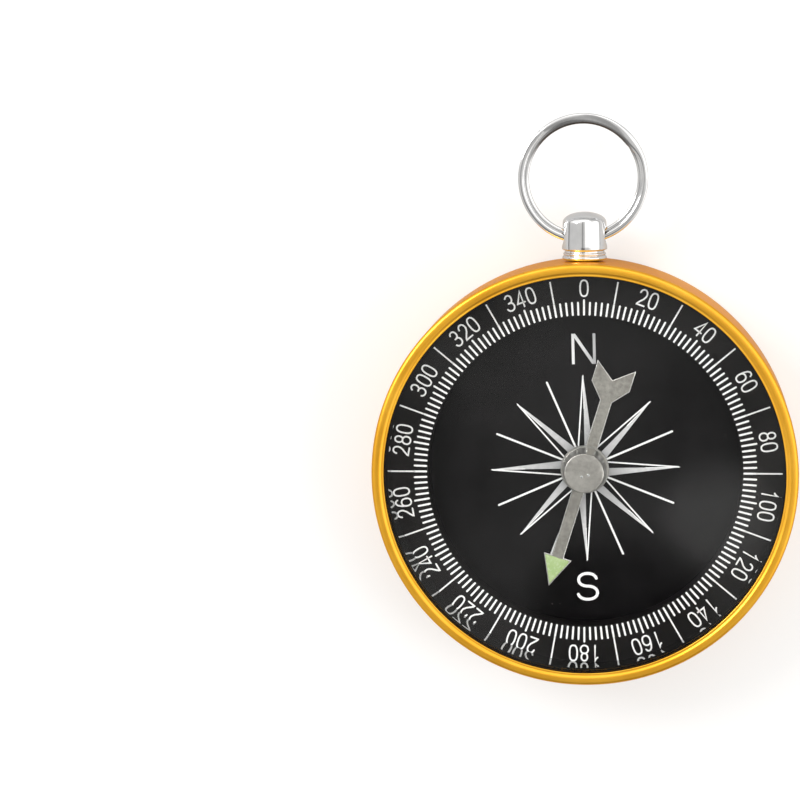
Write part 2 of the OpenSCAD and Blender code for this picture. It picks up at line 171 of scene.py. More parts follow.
def cap(end, before, half, n=6):
    """Round end of a stroke, from its left side to its right side."""
    a = math.atan2(end[1] - before[1], end[0] - before[0])
    return [(end[0] + half * math.cos(a + math.pi / 2 - math.pi * i / n),
             end[1] + half * math.sin(a + math.pi / 2 - math.pi * i / n)) for i in range(1, n)]


SHARPEST = 0.45  # keeps a stroke's corners short where it bends sharply


def ribbon(points, width, z0, z1, closed=False):
    """A flat stroke of one width along points, from z0 to z1, with round ends."""
    n = len(points)
    half = width / 2
    left, right = [], []
    for i, (x, y) in enumerate(points):
        before = points[i - 1] if (i > 0 or closed) else None
        after = points[(i + 1) % n] if (i < n - 1 or closed) else None
        dirs = []
        for a, b in ((before, (x, y)), ((x, y), after)):
            if a is not None and b is not None:
                d = math.hypot(b[0] - a[0], b[1] - a[1])
                if d > 1e-9:
                    dirs.append(((b[0] - a[0]) / d, (b[1] - a[1]) / d))
        nx = -sum(d[1] for d in dirs)
        ny = sum(d[0] for d in dirs)
        size = math.hypot(nx, ny)
        nx, ny = nx / size, ny / size
        cos_half = max(SHARPEST, nx * -dirs[0][1] + ny * dirs[0][0])
        left.append((x + nx * half / cos_half, y + ny * half / cos_half))
        right.append((x - nx * half / cos_half, y - ny * half / cos_half))
    verts, faces = [], []
    if closed:
        for z in (z0, z1):
            verts += [(x, y, z) for x, y in left] + [(x, y, z) for x, y in right]
        m = 2 * n
        for i in range(n):
            j = (i + 1) % n
            faces.append((m + i, m + n + i, m + n + j, m + j))
            faces.append((i, j, n + j, n + i))
            faces.append((i, m + i, m + j, j))
            faces.append((n + i, n + j, m + n + j, m + n + i))
        return verts, faces
    outline = left + cap(points[-1], points[-2], half)
    back = len(outline)
    outline += list(reversed(right)) + cap(points[0], points[1], half)
    m = len(outline)
    for z in (z0, z1):
        verts += [(x, y, z) for x, y in outline]
    for i in range(m):
        j = (i + 1) % m
        faces.append((i, m + i, m + j, j))
    flat = [(i, i + 1, back + n - 2 - i, back + n - 1 - i) for i in range(n - 1)]
    flat += [tuple(range(n - 1, back + 1)), tuple(range(back + n - 1, m)) + (0,)]
    for base, step in ((0, 1), (m, -1)):
        faces += [tuple(base + k for k in face)[::step] for face in flat]
    return verts, faces


def joined(shapes):
    """One shape from several."""
    verts, faces = [], []
    for v, f in shapes:
        base = len(verts)
        verts += v
        faces += [tuple(base + k for k in q) for q in f]
    return verts, faces


def turned(shape, degrees_clockwise):
    """The shape turned about the needle's axis."""
    verts, faces = shape
    t = -math.radians(degrees_clockwise)
    c, s = math.cos(t), math.sin(t)
    return [(x * c - y * s, x * s + y * c, z) for x, y, z in verts], faces


def prism(outline, z0, z1):
    """A flat solid over a simple outline given counter-clockwise."""
    n = len(outline)
    verts = [(x, y, z0) for x, y in outline] + [(x, y, z1) for x, y in outline]
    faces = [tuple(reversed(range(n))), tuple(range(n, 2 * n))]
    faces += [(i, (i + 1) % n, n + (i + 1) % n, n + i) for i in range(n)]
    return verts, faces


def evaluated_mesh(obj):
    """The object's mesh with its bevel or modifiers applied."""
    return bpy.data.meshes.new_from_object(obj.evaluated_get(bpy.context.evaluated_depsgraph_get()))


def plate(name, outlines, z0, z1, bevel, m, body, replaces, sharp):
    """A flat plate with rounded edges, turned to the needle's heading. Outlines after the first are holes."""
    data = bpy.data.curves.new(name, "CURVE")
    data.dimensions = "2D"
    data.fill_mode = "BOTH"
    for points in outlines:
        spline = data.splines.new("POLY")
        spline.points.add(len(points) - 1)
        for p, (x, y) in zip(spline.points, points):
            p.co = (x * MM, y * MM, 0, 1)
        spline.use_cyclic_u = True
    data.offset = -bevel * MM
    data.bevel_depth = bevel * MM
    data.bevel_resolution = 4
    data.extrude = ((z1 - z0) / 2 - bevel) * MM
    outline = add_object(name + "_outline", data)
    mesh = evaluated_mesh(outline)
    bpy.data.objects.remove(outline)
    bpy.data.curves.remove(data)
    mesh.name = name
    mesh.transform(Matrix.Translation((0, 0, (z0 + z1) / 2 * MM)) @ Matrix.Rotation(-math.radians(HEADING), 4, "Z"))
    return finish_piece(add_object(name, mesh), m, body, replaces, sharp)


# Node helpers
class Nodes:
    """A node tree with a few short ways to add nodes."""

    def __init__(self, owner):
        owner.use_nodes = True
        self.tree = owner.node_tree

    def node(self, kind):
        return self.tree.nodes.new(kind)

    def link(self, a, b):
        self.tree.links.new(a, b)

    def feed(self, socket, x):
        """Links an output to the socket, or sets the socket's own number or colour."""
        if hasattr(x, "links"):
            self.link(x, socket)
        else:
            socket.default_value = (*x, 1) if isinstance(x, tuple) else x

    def math(self, op, a, b=None):
        """A Math node on one or two values."""
        n = self.node("ShaderNodeMath")
        n.operation = op
        self.feed(n.inputs[0], a)
        if b is not None:
            self.feed(n.inputs[1], b)
        return n.outputs[0]

    def remap(self, value, a, b, c, d, smooth=False):
        """From c to d as value goes from a to b, and flat outside."""
        n = self.node("ShaderNodeMapRange")
        n.interpolation_type = "SMOOTHSTEP" if smooth else "LINEAR"
        for key, x in (("From Min", a), ("From Max", b), ("To Min", c), ("To Max", d)):
            n.inputs[key].default_value = x
        self.link(value, n.inputs["Value"])
        return n.outputs["Result"]

    def xyz(self, vector):
        """The three coordinates of a vector."""
        n = self.node("ShaderNodeSeparateXYZ")
        self.link(vector, n.inputs[0])
        return list(n.outputs)


class Mat(Nodes):
    """A material round one Principled shader, whose inputs are named with _ for a blank."""

    def __init__(self, name, **values):
        self.mat = bpy.data.materials.new(name)
        super().__init__(self.mat)
        self.bsdf = self.tree.nodes["Principled BSDF"]
        self.out = self.tree.nodes["Material Output"]
        for key, value in values.items():
            self.feed(self.bsdf.inputs[key.replace("_", " ")], value)

    def to(self, name, output):
        """Links an output to one of the shader's inputs."""
        self.link(output, self.bsdf.inputs[name])

    def source(self, name):
        """The output that feeds one of the shader's inputs."""
        return self.bsdf.inputs[name].links[0].from_socket

    def coords(self):
        """The piece's own coordinates, in metres."""
        return self.node("ShaderNodeTexCoord").outputs["Object"]

    def mapped(self, vector, kind="POINT", **inputs):
        """The vector through a Mapping node."""
        n = self.node("ShaderNodeMapping")
        n.vector_type = kind
        for key, value in inputs.items():
            n.inputs[key].default_value = value
        self.link(vector, n.inputs["Vector"])
        return n.outputs["Vector"]

    def noise(self, vector, scale, detail=3.0, rough=0.55):
        """Noise from 0 to 1, mostly near its middle."""
        n = self.node("ShaderNodeTexNoise")
        n.inputs["Scale"].default_value = scale
        n.inputs["Detail"].default_value = detail
        n.inputs["Roughness"].default_value = rough
        self.link(vector, n.inputs["Vector"])
        return n.outputs["Fac"]

    def mix(self, share, a, b):
        """Colour a, with this share of colour b."""
        n = self.node("ShaderNodeMix")
        n.data_type = "RGBA"
        for i, x in ((0, share), (6, a), (7, b)):
            self.feed(n.inputs[i], x)
        return n.outputs[2]

    def tone(self, value, a, b, low, high):
        """The colour from low to high as value goes from a to b."""
        return self.mix(self.remap(value, a, b, 0, 1), low, high)

    def length(self, x, y):
        """Distance of (x, y) from the origin."""
        return self.math("SQRT", self.math("ADD", self.math("MULTIPLY", x, x), self.math("MULTIPLY", y, y)))

    def bump(self, height, depth, after=None):
        """Bumps of this depth in millimetres, on top of the bumps in after."""
        n = self.node("ShaderNodeBump")
        n.inputs["Strength"].default_value = 1.0
        n.inputs["Distance"].default_value = depth * MM
        self.link(height, n.inputs["Height"])
        if after is not None:
            self.link(after, n.inputs["Normal"])
        self.to("Normal", n.outputs["Normal"])


# Materials
def gold(name, rough, grain, rolled=False):
    """Gold anodised aluminium: fine turned or rolled grain, faint tone changes and tiny specks."""
    m = Mat(name, Metallic=1.0, IOR=1.45, Specular_Tint=(1.0, 0.56, 0.19),
            Coat_Weight=0.35, Coat_Roughness=0.22, Coat_IOR=1.5)
    at = m.coords()
    cloud = m.noise(at, 160, 4)
    speck = m.noise(at, 5200, 2)
    spread = 0.25 if rolled else 1.0  # the rolled metal is more even
    base = m.mix(m.remap(cloud, 0.35, 0.65, 0.5 - spread / 2, 0.5 + spread / 2),
                 (0.95, 0.455, 0.025), (1.0, 0.525, 0.042))
    m.to("Base Color", m.mix(m.remap(speck, 0.68, 0.76, 0, 0.22), base, (0.55, 0.27, 0.03)))
    m.to("Roughness", m.math("ADD", m.remap(cloud, 0.3, 0.7, rough - 0.035 * spread, rough + 0.035 * spread),
                             m.remap(speck, 0.3, 0.7, -0.04, 0.04)))
    if rolled:
        lines = m.noise(m.mapped(at, Rotation=(0, 0, math.radians(-38)), Scale=(1, 0.22, 1)), 3800, 3, 0.7)
    else:
        x, y, z = m.xyz(at)
        round_case = m.node("ShaderNodeCombineXYZ")
        for i, (value, scale) in enumerate(((m.length(x, y), 40.0), (m.math("ARCTAN2", y, x), 0.02), (z, 40.0))):
            m.link(m.math("MULTIPLY", value, scale), round_case.inputs[i])
        lines = m.noise(round_case.outputs[0], 340, 3, 0.6)
    m.bump(m.math("ADD", lines, m.math("MULTIPLY", speck, 0.8)), grain)
    return m


def chromed(name):
    """Polished chrome with faint smears. Also gives its coordinates, colour and roughness."""
    m = Mat(name, Metallic=1.0)
    at = m.coords()
    smear = m.noise(at, 420, 4)
    m.to("Base Color", m.tone(smear, 0.4, 0.7, (0.82, 0.82, 0.82), (0.72, 0.72, 0.73)))
    m.to("Roughness", m.remap(smear, 0.35, 0.75, 0.045, 0.14))
    m.bump(m.noise(at, 2600, 2), 0.0009)
    return m, at, m.source("Base Color"), m.source("Roughness")


def satin_metal(name, light, deep, rough, scale, grain, stretch=(1, 1, 1)):
    """Metal with a mottled, fine-grained surface."""
    m = Mat(name, Metallic=1.0)
    at = m.mapped(m.coords(), Scale=stretch)
    cloud = m.noise(at, scale / 9, 3)
    fine = m.noise(at, scale, 3, 0.6)
    both = m.math("ADD", m.math("MULTIPLY", cloud, 0.45), m.math("MULTIPLY", fine, 0.55))
    m.to("Base Color", m.tone(both, 0.40, 0.60, deep, light))
    m.to("Roughness", m.remap(fine, 0.3, 0.7, rough - 0.06, rough + 0.06))
    m.bump(fine, grain)
    return m


def grained(name, scale, detail, low, high, **values):
    """A material whose colour wanders between two tones. Also gives its grain."""
    m = Mat(name, **values)
    grain = m.noise(m.coords(), scale, detail)
    m.to("Base Color", m.mix(grain, low, high))
    return m, grain


rim_gold = gold("case_gold_anodised", 0.38, 0.0036)
back_gold = gold("back_gold_anodised", 0.33, 0.0050, rolled=True)

# Fine scratches on the back panel and nicks along its edge: x, y, turn in degrees, half length, half width
SCRATCHES = (
    (-6.5, 7.2, 28, 3.4, 0.035), (-4.0, 5.6, 31, 2.2, 0.025), (9.0, -3.5, -62, 2.8, 0.03),
    (3.2, -11.5, 12, 2.4, 0.03), (-12.5, -6.0, 75, 1.8, 0.03), (11.5, 9.4, 40, 1.5, 0.025),
    (-1.5, 14.2, -8, 2.0, 0.025), (6.0, 2.0, 55, 1.2, 0.02), (-14.9, -15.1, -45, 0.22, 0.09),
    (-8.2, -19.6, -22, 0.16, 0.07), (3.6, -21.1, 9, 0.18, 0.08), (12.4, -17.2, 36, 0.14, 0.07),
)
at = back_gold.coords()
scratched = None
for x, y, turn, length, width in SCRATCHES:
    along, across, _ = back_gold.xyz(back_gold.mapped(at, "TEXTURE", Location=(x * MM, y * MM, 0),
                                                      Rotation=(0, 0, math.radians(turn))))
    along = back_gold.remap(back_gold.math("ABSOLUTE", along), length * 0.6 * MM, length * MM, 1, 0)
    across = back_gold.remap(back_gold.math("ABSOLUTE", across), width * 0.4 * MM, width * MM, 1, 0)
    mark = back_gold.math("MULTIPLY", along, across)
    scratched = mark if scratched is None else back_gold.math("MAXIMUM", scratched, mark)
back_gold.to("Base Color", back_gold.mix(back_gold.math("MULTIPLY", scratched, 0.55), back_gold.source("Base Color"),
                                         (1.0, 0.78, 0.36)))
back_gold.bump(back_gold.math("SUBTRACT", 1.0, scratched), 0.012, after=back_gold.source("Normal"))

chrome = chromed("polished_chrome")[0]

# Painted shade: the ring's chrome is darkened along its inside, on the side away from the stem, in place of a dark
# reflection there. It is also rougher there
ring_chrome, at, bright, smooth_chrome = chromed("ring_chrome_painted_shade")
x, y, _ = ring_chrome.xyz(at)
up_ring = ring_chrome.math("SUBTRACT", y, RING_Y * MM)
from_middle = ring_chrome.length(ring_chrome.math("SUBTRACT", x, RING_X * MM), up_ring)
ring_painted_shade = ring_chrome.math("MULTIPLY", ring_chrome.remap(from_middle, 5.88 * MM, 6.12 * MM, 1, 0, True),
                           ring_chrome.remap(up_ring, 1.2 * MM, 4.2 * MM, 0, 0.92, True))
ring_chrome.to("Base Color", ring_chrome.mix(ring_painted_shade, bright, (0.055, 0.040, 0.030)))
ring_chrome.to("Roughness", ring_chrome.math("ADD", smooth_chrome, ring_chrome.math("MULTIPLY", ring_painted_shade, 0.2)))

black = Mat("chapter_black_moulding", IOR=1.5, Specular_IOR_Level=0.16)
at = black.coords()
film = black.noise(at, 260, 3)
black.to("Roughness", black.remap(film, 0.3, 0.7, 0.40, 0.52))
black.to("Base Color", black.tone(film, 0.35, 0.7, (0.0040, 0.0034, 0.0034), (0.0072, 0.0061, 0.0061)))
black.bump(black.noise(at, 5200, 2), 0.0008)

wall_black, film = grained("chapter_wall_gloss", 500, 3, (0.003, 0.003, 0.003), (0.006, 0.006, 0.006), IOR=2.5,
                           Specular_IOR_Level=1.0, Coat_Weight=1.0, Coat_Roughness=0.0, Coat_IOR=2.0)
wall_black.to("Roughness", wall_black.remap(film, 0.4, 0.8, 0.0, 0.006))

# The dial's lacquer has soft wipe marks both ways, and dust
lacquer = Mat("dial_black_lacquer", IOR=1.5, Specular_IOR_Level=0.14)
at = lacquer.coords()
wipe = lacquer.math("ADD", lacquer.math("MULTIPLY", lacquer.noise(lacquer.mapped(at, Scale=(1, 0.12, 1)), 420), 0.25),
                    lacquer.math("MULTIPLY", lacquer.noise(lacquer.mapped(at, Scale=(0.12, 1, 1)), 300), 0.25))
film = lacquer.math("ADD", lacquer.math("MULTIPLY", lacquer.noise(at, 150, 4), 0.5), wipe)
lacquer.to("Roughness", lacquer.remap(film, 0.40, 0.62, 0.28, 0.42))
deep_black = lacquer.tone(film, 0.42, 0.62, (0.0008, 0.0006, 0.0008), (0.0040, 0.0034, 0.0040))
lacquer.to("Base Color", lacquer.tone(lacquer.noise(at, 1900, 1), 0.79, 0.83, deep_black, (0.045, 0.04, 0.04)))
lacquer.bump(lacquer.noise(at, 4800, 2), 0.0003)

white_ink = Mat("white_ink", Roughness=0.45)
cover = white_ink.noise(white_ink.coords(), 3600, 3)
white_ink.to("Base Color", white_ink.tone(cover, 0.32, 0.6, (0.84, 0.84, 0.84), (0.96, 0.96, 0.955)))
white_ink.bump(cover, 0.002)

# Painted shade on the N: its ink is greyer than the S's, and greyest on its right, with a ragged edge to the grey
letter_ink = Mat("letter_ink", Roughness=0.45)
at = letter_ink.coords()
cover = letter_ink.noise(at, 1400, 3)
x, y, _ = letter_ink.xyz(at)
n_painted_shade = letter_ink.remap(letter_ink.math("ADD", x, letter_ink.math("MULTIPLY", cover, 1.6 * MM)),
                        -1.0 * MM, 2.2 * MM, 0.15, 1.0)
n_painted_shade = letter_ink.math("MULTIPLY", n_painted_shade, letter_ink.remap(y, 0, 8 * MM, 0, 1))
letter_ink.to("Base Color", letter_ink.mix(n_painted_shade, (0.94, 0.94, 0.935), (0.40, 0.40, 0.41)))
letter_ink.bump(cover, 0.002)

# The star's grey is darker towards the boss
grey_ink = Mat("grey_ink", Roughness=0.42)
at = grey_ink.coords()
x, y, _ = grey_ink.xyz(at)
cover = grey_ink.noise(at, 2400, 3)
grey = grey_ink.tone(grey_ink.length(x, y), 2.2 * MM, 9.8 * MM, (0.46, 0.46, 0.47), (0.74, 0.74, 0.74))
grey_ink.to("Base Color", grey_ink.mix(grey_ink.remap(cover, 0.36, 0.62, 0.25, 0), grey, (0.30, 0.30, 0.30)))
grey_ink.bump(cover, 0.002)

blade_steel = satin_metal("needle_satin_steel", (0.53, 0.51, 0.465), (0.38, 0.36, 0.33), 0.36, 2200, 0.0028)
edge_steel_painted_highlight = satin_metal("needle_edge_painted_highlight", (0.97, 0.96, 0.94), (0.88, 0.87, 0.85), 0.17, 2200, 0.0004)
hub_metal = satin_metal("hub_satin_aluminium", (0.53, 0.51, 0.475), (0.42, 0.40, 0.372), 0.38, 2400, 0.0026)
hub_side = satin_metal("hub_turned_side", (0.50, 0.48, 0.45), (0.42, 0.41, 0.39), 0.34, 2400, 0.0002)
pin_steel = satin_metal("pin_ground_steel", (0.56, 0.56, 0.57), (0.46, 0.46, 0.47), 0.22, 3000, 0.001)
washer_steel = satin_metal("washer_steel", (0.55, 0.55, 0.55), (0.42, 0.42, 0.42), 0.34, 1800, 0.002)
brass = satin_metal("post_turned_brass", (0.70, 0.50, 0.20), (0.58, 0.39, 0.14), 0.28, 1800, 0.002, (1, 1, 6))
eyelet_metal = satin_metal("eyelet_aluminium", (0.68, 0.68, 0.68), (0.56, 0.56, 0.56), 0.30, 2000, 0.0015)

lume = Mat("pale_green_luminous_paint", Roughness=0.62)
at = lume.coords()
cloud = lume.noise(at, 520, 3)
grain = lume.noise(at, 3800, 2)
green = lume.tone(cloud, 0.35, 0.65, (0.34, 0.47, 0.20), (0.45, 0.56, 0.29))
lume.to("Base Color", lume.mix(lume.remap(grain, 0.55, 0.7, 0, 0.5), green, (0.54, 0.62, 0.42)))
lume.bump(lume.math("ADD", grain, lume.math("MULTIPLY", cloud, 2.0)), 0.012)

rubber, grain = grained("gasket_rubber", 2600, 3, (0.004, 0.004, 0.004), (0.010, 0.010, 0.010), Roughness=0.8,
                        Specular_IOR_Level=0.12)
rubber.bump(grain, 0.008)

moulding, grain = grained("carrier_moulding", 1500, 3, (0.020, 0.020, 0.021), (0.045, 0.045, 0.046))
moulding.to("Roughness", moulding.remap(grain, 0.3, 0.7, 0.42, 0.58))
moulding.bump(grain, 0.006)

jewel = grained("jewel_red", 1400, 2, (0.30, 0.010, 0.025), (0.42, 0.020, 0.045), Roughness=0.08, IOR=1.77,
                Coat_Weight=0.5)[0]

# Shadow rays and diffuse rays pass straight through the lens. To all others it is glass
glass = Mat("lens_clear", Base_Color=(0.985, 0.995, 0.99), Roughness=0.0, IOR=1.45, Transmission_Weight=1.0)
glass.to("Roughness", glass.remap(glass.noise(glass.coords(), 300, 3), 0.45, 0.8, 0.0, 0.012))
path = glass.node("ShaderNodeLightPath")
mixed = glass.node("ShaderNodeMixShader")
glass.link(glass.math("MAXIMUM", path.outputs["Is Shadow Ray"], path.outputs["Is Diffuse Ray"]), mixed.inputs[0])
glass.link(glass.bsdf.outputs[0], mixed.inputs[1])
glass.link(glass.node("ShaderNodeBsdfTransparent").outputs[0], mixed.inputs[2])
glass.link(mixed.outputs[0], glass.out.inputs["Surface"])

# Case: its rolled foot, the round rim, and the lip with its shallow groove
FOOT_ROUND, RIM_ROUND, EDGE_ROUND = 0.9, 0.45, 0.13
FOLD_R, FOLD_OUT = 0.6, 22.2
case_profile = (
    arc(CREST_R, FOOT_ROUND, FOOT_ROUND, -90, 0, 16)
    + arc(CASE_R - RIM_ROUND, CASE_H - RIM_ROUND, RIM_ROUND, 0, 78, 12)
    + [(21.95, CASE_H - 0.005), (21.8, CASE_H - 0.002), (21.66, CASE_H - 0.012), (21.57, CASE_H - 0.045)]
    + [(21.52, 9.90), (21.46, 9.865), (21.41, 9.86)]
    + arc(21.28, 9.73, EDGE_ROUND, 62, 128, 8)
    + [(OPEN_R + 0.05, 9.77), (OPEN_R + 0.30, LIP_Z), (BORE_R, LIP_Z), (BORE_R, COVER_T), (FOLD_OUT, COVER_T)]
    + arc(CREST_R, FOOT_ROUND, FOLD_R, 0, -90, 10)
)
make("case_shell", lathe(case_profile, 512), rim_gold, "case", ["case_body"], sharp=50)

# Back: the sunk panel, its bevel, the edge to rest on, and the pan's edge inside the case's fold
PAN_R, PAN_OUT = 0.55, 22.15
back_profile = (
    [(0, PANEL_DEPTH), (7, PANEL_DEPTH), (14, PANEL_DEPTH), (PANEL_R - 0.12, PANEL_DEPTH)]
    + [(PANEL_R, PANEL_DEPTH - 0.01), (PANEL_R + 0.1, PANEL_DEPTH - 0.045), (BEVEL_R - 0.1, 0.045), (BEVEL_R, 0.008)]
    + [(BEVEL_R + 0.06, 0.0), (CREST_R - 0.11, 0.0), (CREST_R - 0.05, 0.05), (CREST_R - 0.05, 0.35)]
    + arc(CREST_R, FOOT_ROUND, PAN_R, -90, 0, 8)
    + [(PAN_OUT, COVER_T), (0, COVER_T)]
)
make("back_plate", lathe(back_profile, 512, closed=False), back_gold, "case", ["back_cover"], sharp=50)

# Lens
LENS_BEVEL = 0.15
lens_profile = [
    (0, LENS_Z), (INNER_R - LENS_BEVEL, LENS_Z), (INNER_R, LENS_Z + LENS_BEVEL),
    (INNER_R, LIP_Z - LENS_BEVEL), (INNER_R - LENS_BEVEL, LIP_Z), (0, LIP_Z),
]
make("lens_pane", lathe(lens_profile, 256, closed=False), glass, "case", ["lens"], sharp=20)

# Chapter ring: the raised degree step round the dial, and the skirt outside it that carries the gasket
STEP_T, STEP_W, STEP_ROUND = 1.0, 0.9, 0.15
SKIRT_IN, SKIRT_OUT, SEAT_R = 20.9, 21.72, 21.60
ring_profile = (
    [(STEP_R, DIAL_Z), (STEP_R + STEP_W, DIAL_Z), (STEP_R + STEP_W, STEP_Z - STEP_T), (SKIRT_IN, STEP_Z - STEP_T)]
    + [(SKIRT_IN, DIAL_Z), (SKIRT_OUT, DIAL_Z), (SKIRT_OUT, GASKET_Z), (SEAT_R, GASKET_Z), (SEAT_R, STEP_Z)]
    + arc(STEP_R + STEP_ROUND, STEP_Z - STEP_ROUND, STEP_ROUND, 90, 180, 8)
)
make("chapter_step", lathe(ring_profile, 512), black, "case", ["chapter_ring"], sharp=40)

# The glossy wall round the step is moulded unevenly. At one azimuth its foot stands nearer the print and its top a
# little farther out, so it leans more there
FOOT_R, FOOT_SHIFT = 20.82, -0.48
TOP_R, TOP_SHIFT = 20.84, 0.10
LEAN_AT, WALL_BACK_R = 222, 21.62
WALL_Z, RIM_Z, RIM_TOP = STEP_Z - 0.01, GASKET_Z - 0.03, GASKET_Z - 0.005


def wall_r(radius, shift, azimuth):
    """A radius of the glossy wall at this azimuth, in degrees clockwise from 0."""
    return radius + shift * max(0.0, math.cos(math.radians(azimuth - LEAN_AT))) ** 4


def uneven(shape):
    """Moves the front of a round wall to where its foot and its top stand."""
    verts, faces = shape
    out = []
    for x, y, z in verts:
        r = math.hypot(x, y)
        if r < WALL_BACK_R - 0.1:
            azimuth = math.degrees(math.atan2(x, y))
            new = wall_r(FOOT_R, FOOT_SHIFT, azimuth) if z < STEP_Z else wall_r(TOP_R, TOP_SHIFT, azimuth)
            x, y = x * new / r, y * new / r
        out.append((x, y, z))
    return out, faces


wall = lathe([(FOOT_R, WALL_Z), (TOP_R, RIM_Z), (WALL_BACK_R, RIM_Z), (WALL_BACK_R, WALL_Z)], 512)
make("chapter_wall", uneven(wall), wall_black, "case", (), sharp=40)
wall = lathe([(TOP_R, RIM_Z), (TOP_R, RIM_TOP), (WALL_BACK_R, RIM_TOP), (WALL_BACK_R, RIM_Z)], 512)
make("chapter_rim", uneven(wall), rubber, "case", (), sharp=40)

# Degree marks: one each 2 degrees, longer at the numbers, and a line on to the wall between two numbers. Where prints
# overlap they differ a little in thickness, so that no two faces lie in one plane
INK, FILL_INK, OVER_INK, TOP_INK, INK_STEP = 0.03, 0.022, 0.032, 0.034, 0.002
MARK_R, MARK_L, MARK_W = STEP_R + 0.10, 1.38, 0.205
LONGER, LINE_W, LINE_END_R = 0.26, 0.165, 21.35
ROUND = 0.06


def stroke(points, width, base, ink, turn, closed=False):
    """A printed stroke on a face at height base, turned about the needle's axis."""
    return turned(ribbon(points, width, base, base + ink, closed), turn)


marks = []
for a in range(0, 360, 2):
    length = MARK_L + (LONGER if a % 20 == 0 else 0.0)
    marks.append(stroke([(0, MARK_R + ROUND), (0, MARK_R + length - ROUND)], MARK_W, STEP_Z, INK, a))
    if a % 20 == 10:
        end = min(LINE_END_R, wall_r(FOOT_R, FOOT_SHIFT, a))
        marks.append(stroke([(0, MARK_R + length), (0, end)], LINE_W, STEP_Z, INK, a))
make("degree_print", joined(marks), white_ink, "case", ["degree_marks"], sharp=60)


def oval(cx, cy, rx, ry, n, power, start=0.0, end=360.0):
    """Points on a squared oval, counter-clockwise from the angle start to end."""
    out = []
    full = abs(end - start) >= 360
    for i in range(n if full else n + 1):
        t = math.radians(start + (end - start) * i / n)
        c, s = math.cos(t), math.sin(t)
        out.append((cx + rx * math.copysign(abs(c) ** (2 / power), c),
                    cy + ry * math.copysign(abs(s) ** (2 / power), s)))
    return out


# Strokes of each digit in a box one wide and one high: a list of (points, closed)
DIGITS = {
    "0": [(oval(0.5, 0.5, 0.5, 0.5, 48, 2.6), True)],
    "1": [([(0.20, 0.78), (0.34, 0.83), (0.46, 0.91), (0.54, 1.0), (0.54, 0.0)], False)],
    "2": [(oval(0.48, 0.72, 0.45, 0.28, 22, 2.1, 172, -28)
           + [(0.70, 0.42), (0.28, 0.20), (0.05, 0.06), (0.02, 0.0), (1.0, 0.0)], False)],
    "3": [(oval(0.46, 0.745, 0.42, 0.255, 18, 2.1, 155, -90) + [(0.34, 0.49)], False),
          (oval(0.46, 0.26, 0.50, 0.26, 20, 2.1, 82, -158), False)],
    "4": [([(0.74, 0.0), (0.74, 1.0), (0.0, 0.27), (1.0, 0.27)], False)],
    "6": [(oval(0.5, 0.31, 0.5, 0.31, 36, 2.3), True),
          ([(0.92, 0.86), (0.80, 0.96), (0.62, 1.0), (0.40, 0.98), (0.20, 0.86), (0.07, 0.66), (0.01, 0.42),
            (0.0, 0.32)], False)],
    "8": [(oval(0.5, 0.755, 0.40, 0.245, 32, 2.1), True), (oval(0.5, 0.26, 0.5, 0.26, 36, 2.15), True)],
}
DIGIT_W, DIGIT_H, DIGIT_STROKE, ADVANCE, NUMBER_R = 0.81, 1.68, 0.175, 1.18, 19.70
numbers = []
for a in range(0, 360, 20):
    text = str(a)
    for i, digit in enumerate(text):
        x0 = (i - (len(text) - 1) / 2) * ADVANCE - DIGIT_W / 2
        for k, (points, closed) in enumerate(DIGITS[digit]):
            points = [(x0 + x * DIGIT_W, NUMBER_R - DIGIT_H / 2 + y * DIGIT_H) for x, y in points]
            numbers.append(stroke(points, DIGIT_STROKE, STEP_Z, INK + INK_STEP * k, a, closed))
make("degree_numbers", joined(numbers), white_ink, "case", (), sharp=60)

# Star: each point has a grey half and an outlined half, and a line stands between two points
TIP_R, ROOT_R, HALF_W, FILL_W = 10.2, 2.0, 0.75, 0.90
CREASE_R, CREASE_W, OUTLINE_W, RAY_W = 6.5, 0.07, 0.15, 0.21
fills, lines = [], []
for i in range(8):
    a = ROSE_TURN + 45 * i
    fills.append(turned(prism([(0, ROOT_R), (FILL_W, ROOT_R), (0, TIP_R)], DIAL_Z, DIAL_Z + FILL_INK), a))
    lines.append(stroke([(0.02, CREASE_R), (0.0, TIP_R - 0.1)], CREASE_W, DIAL_Z, OVER_INK, a))
    lines.append(stroke([(-HALF_W + 0.05, ROOT_R), (-0.02, TIP_R - 0.2)], OUTLINE_W, DIAL_Z, TOP_INK, a))
    lines.append(stroke([(0, ROOT_R), (0, TIP_R - 0.05)], RAY_W, DIAL_Z, INK, a + 22.5))
make("star_fill", joined(fills), grey_ink, "case", ["rose_print"], sharp=60)
make("star_lines", joined(lines), white_ink, "case", (), sharp=60)

# Letters N and S
LETTER_R = 12.95
N_W, N_H, N_STROKE, N_SLANT = 2.56, 3.28, 0.30, 0.40
S_W, S_H, S_STROKE = 2.10, 2.86, 0.31


def letter_n(cx, cy):
    """An N of two uprights and a slanting bar."""
    x0, x1, y0, y1 = cx - N_W / 2, cx + N_W / 2, cy - N_H / 2, cy + N_H / 2
    return joined([
        prism([(x0, y0), (x0 + N_STROKE, y0), (x0 + N_STROKE, y1), (x0, y1)], DIAL_Z, DIAL_Z + INK),
        prism([(x1 - N_STROKE, y0), (x1, y0), (x1, y1), (x1 - N_STROKE, y1)], DIAL_Z, DIAL_Z + INK),
        prism([(x0, y1), (x1 - N_SLANT, y0), (x1, y0), (x0 + N_SLANT, y1)], DIAL_Z, DIAL_Z + OVER_INK),
    ])


